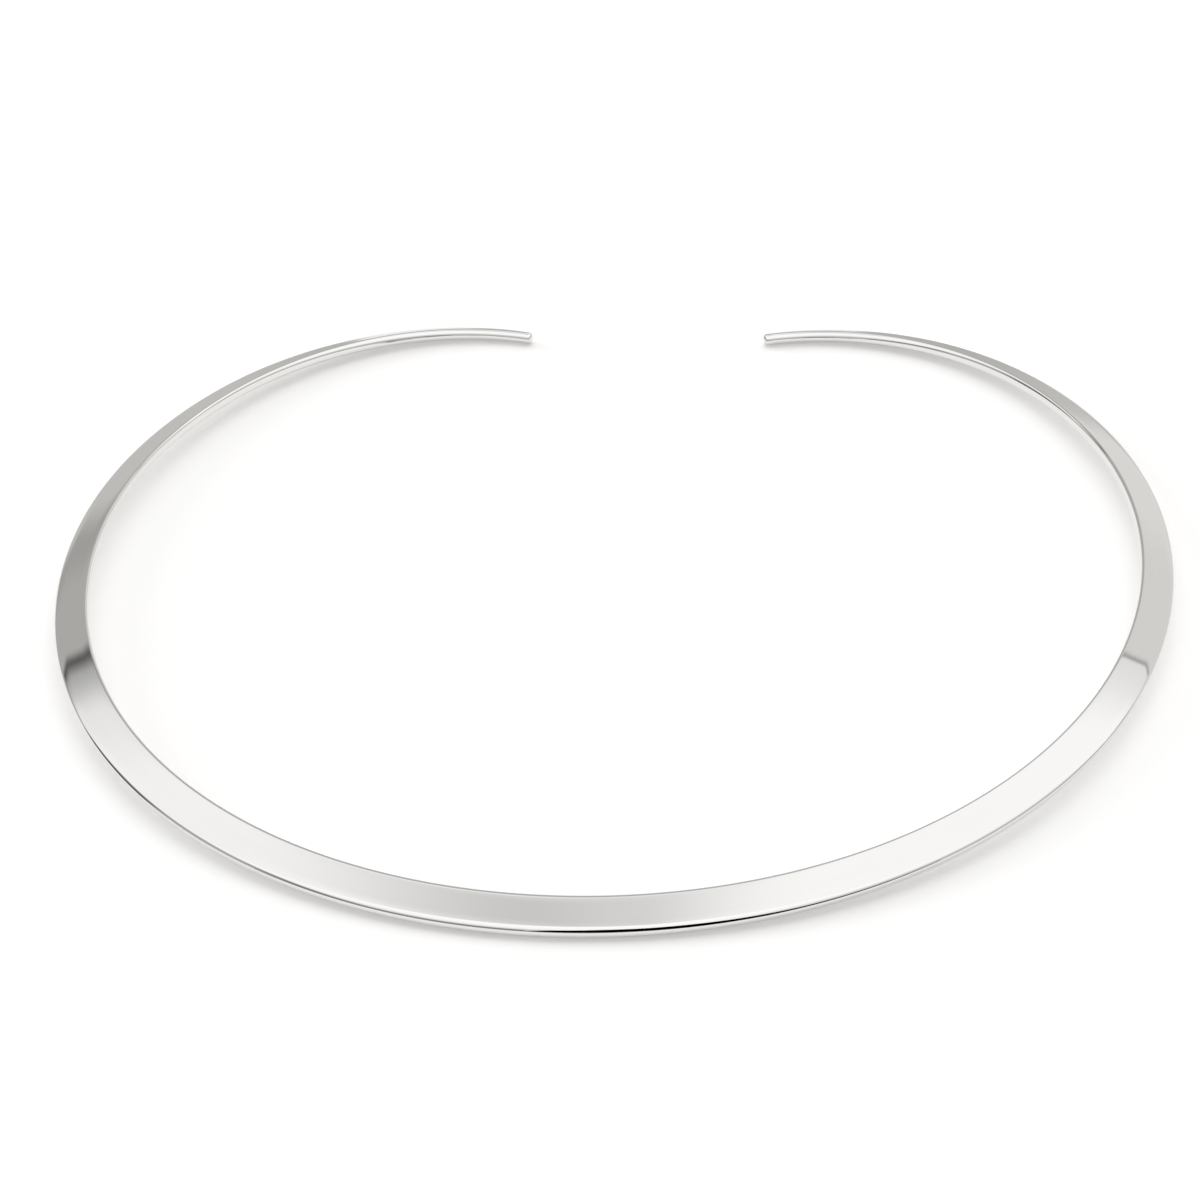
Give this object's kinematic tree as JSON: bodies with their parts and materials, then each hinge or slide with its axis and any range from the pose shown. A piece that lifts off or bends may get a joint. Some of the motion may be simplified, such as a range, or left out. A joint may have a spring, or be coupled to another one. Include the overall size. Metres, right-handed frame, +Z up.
{
  "type": "torc necklace",
  "caption": "Open neck ring of plain polished silver: a flat band, widest at the front, that slopes outwards and tapers into slim round ends with a gap at the back.",
  "frame": {"origin": "on the surface that the ring rests on, in the middle of its outline seen from above", "axes": "+X across the ring towards the wearer's left, +Y towards the gap at the nape, +Z up out of the surface, through the neck space"},
  "size_m": [0.1348, 0.1254, 0.0045],
  "materials": {
    "polished_silver": "mirror-polished silver with faint polishing marks"
  },
  "bodies": {
    "root": {"neck_ring": "polished_silver"}
  },
  "joints": []
}
